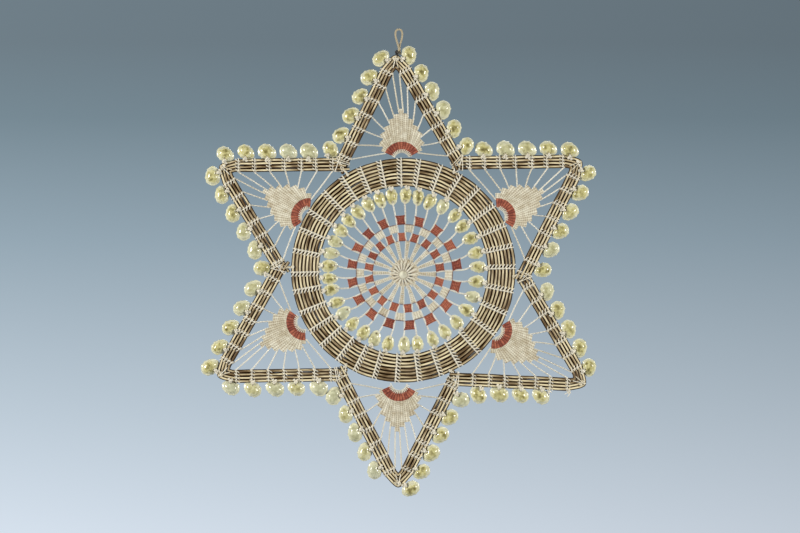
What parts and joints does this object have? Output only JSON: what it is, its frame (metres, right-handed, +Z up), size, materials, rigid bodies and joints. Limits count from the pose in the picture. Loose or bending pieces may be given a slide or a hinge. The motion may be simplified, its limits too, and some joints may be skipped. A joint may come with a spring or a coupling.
{
  "type": "sennit star wall hanging",
  "caption": "Six-pointed star wall hanging of lashed leaf ribs with a ribbed ring, cowrie shells, woven fans and a needle-woven centre, hung by a loop of cord.",
  "frame": {"origin": "inside top of the hanging loop, where the nail or pin goes", "axes": "+Z up the star from its bottom point to the loop, front facing -Y, +X to the right seen from the front"},
  "size_m": [0.3988, 0.0092, 0.4698],
  "materials": {
    "leaf_rib": "natural leaf ribs, pale tan to brown, silky along the grain",
    "cream_thread": "twisted cream cord, matt",
    "woven_thread": "needle-woven cream thread with red-brown bands and squares, matt",
    "cowrie_shell": "polished shell, ivory rims and yellow-olive backs",
    "dark_thread": "dark twisted thread, matt"
  },
  "bodies": {
    "root": {"ring_of_ribs": "leaf_rib", "top_point_left_leg": "leaf_rib", "top_point_right_leg": "leaf_rib", "upper_right_point_left_leg": "leaf_rib", "upper_right_point_right_leg": "leaf_rib", "lower_right_point_left_leg": "leaf_rib", "lower_right_point_right_leg": "leaf_rib", "bottom_point_left_leg": "leaf_rib", "bottom_point_right_leg": "leaf_rib", "lower_left_point_left_leg": "leaf_rib", "lower_left_point_right_leg": "leaf_rib", "upper_left_point_left_leg": "leaf_rib", "upper_left_point_right_leg": "leaf_rib", "top_point_left_cowries": "cowrie_shell", "top_point_right_cowries": "cowrie_shell", "upper_right_point_left_cowries": "cowrie_shell", "upper_right_point_right_cowries": "cowrie_shell", "lower_right_point_left_cowries": "cowrie_shell", "lower_right_point_right_cowries": "cowrie_shell", "bottom_point_left_cowries": "cowrie_shell", "bottom_point_right_cowries": "cowrie_shell", "lower_left_point_left_cowries": "cowrie_shell", "lower_left_point_right_cowries": "cowrie_shell", "upper_left_point_left_cowries": "cowrie_shell", "upper_left_point_right_cowries": "cowrie_shell", "top_fan": "woven_thread", "upper_right_fan": "woven_thread", "lower_right_fan": "woven_thread", "bottom_fan": "woven_thread", "lower_left_fan": "woven_thread", "upper_left_fan": "woven_thread", "inner_cowries": "cowrie_shell", "centre_web": "woven_thread", "hanging_loop": "cream_thread", "loop_knot": "dark_thread"}
  },
  "joints": []
}
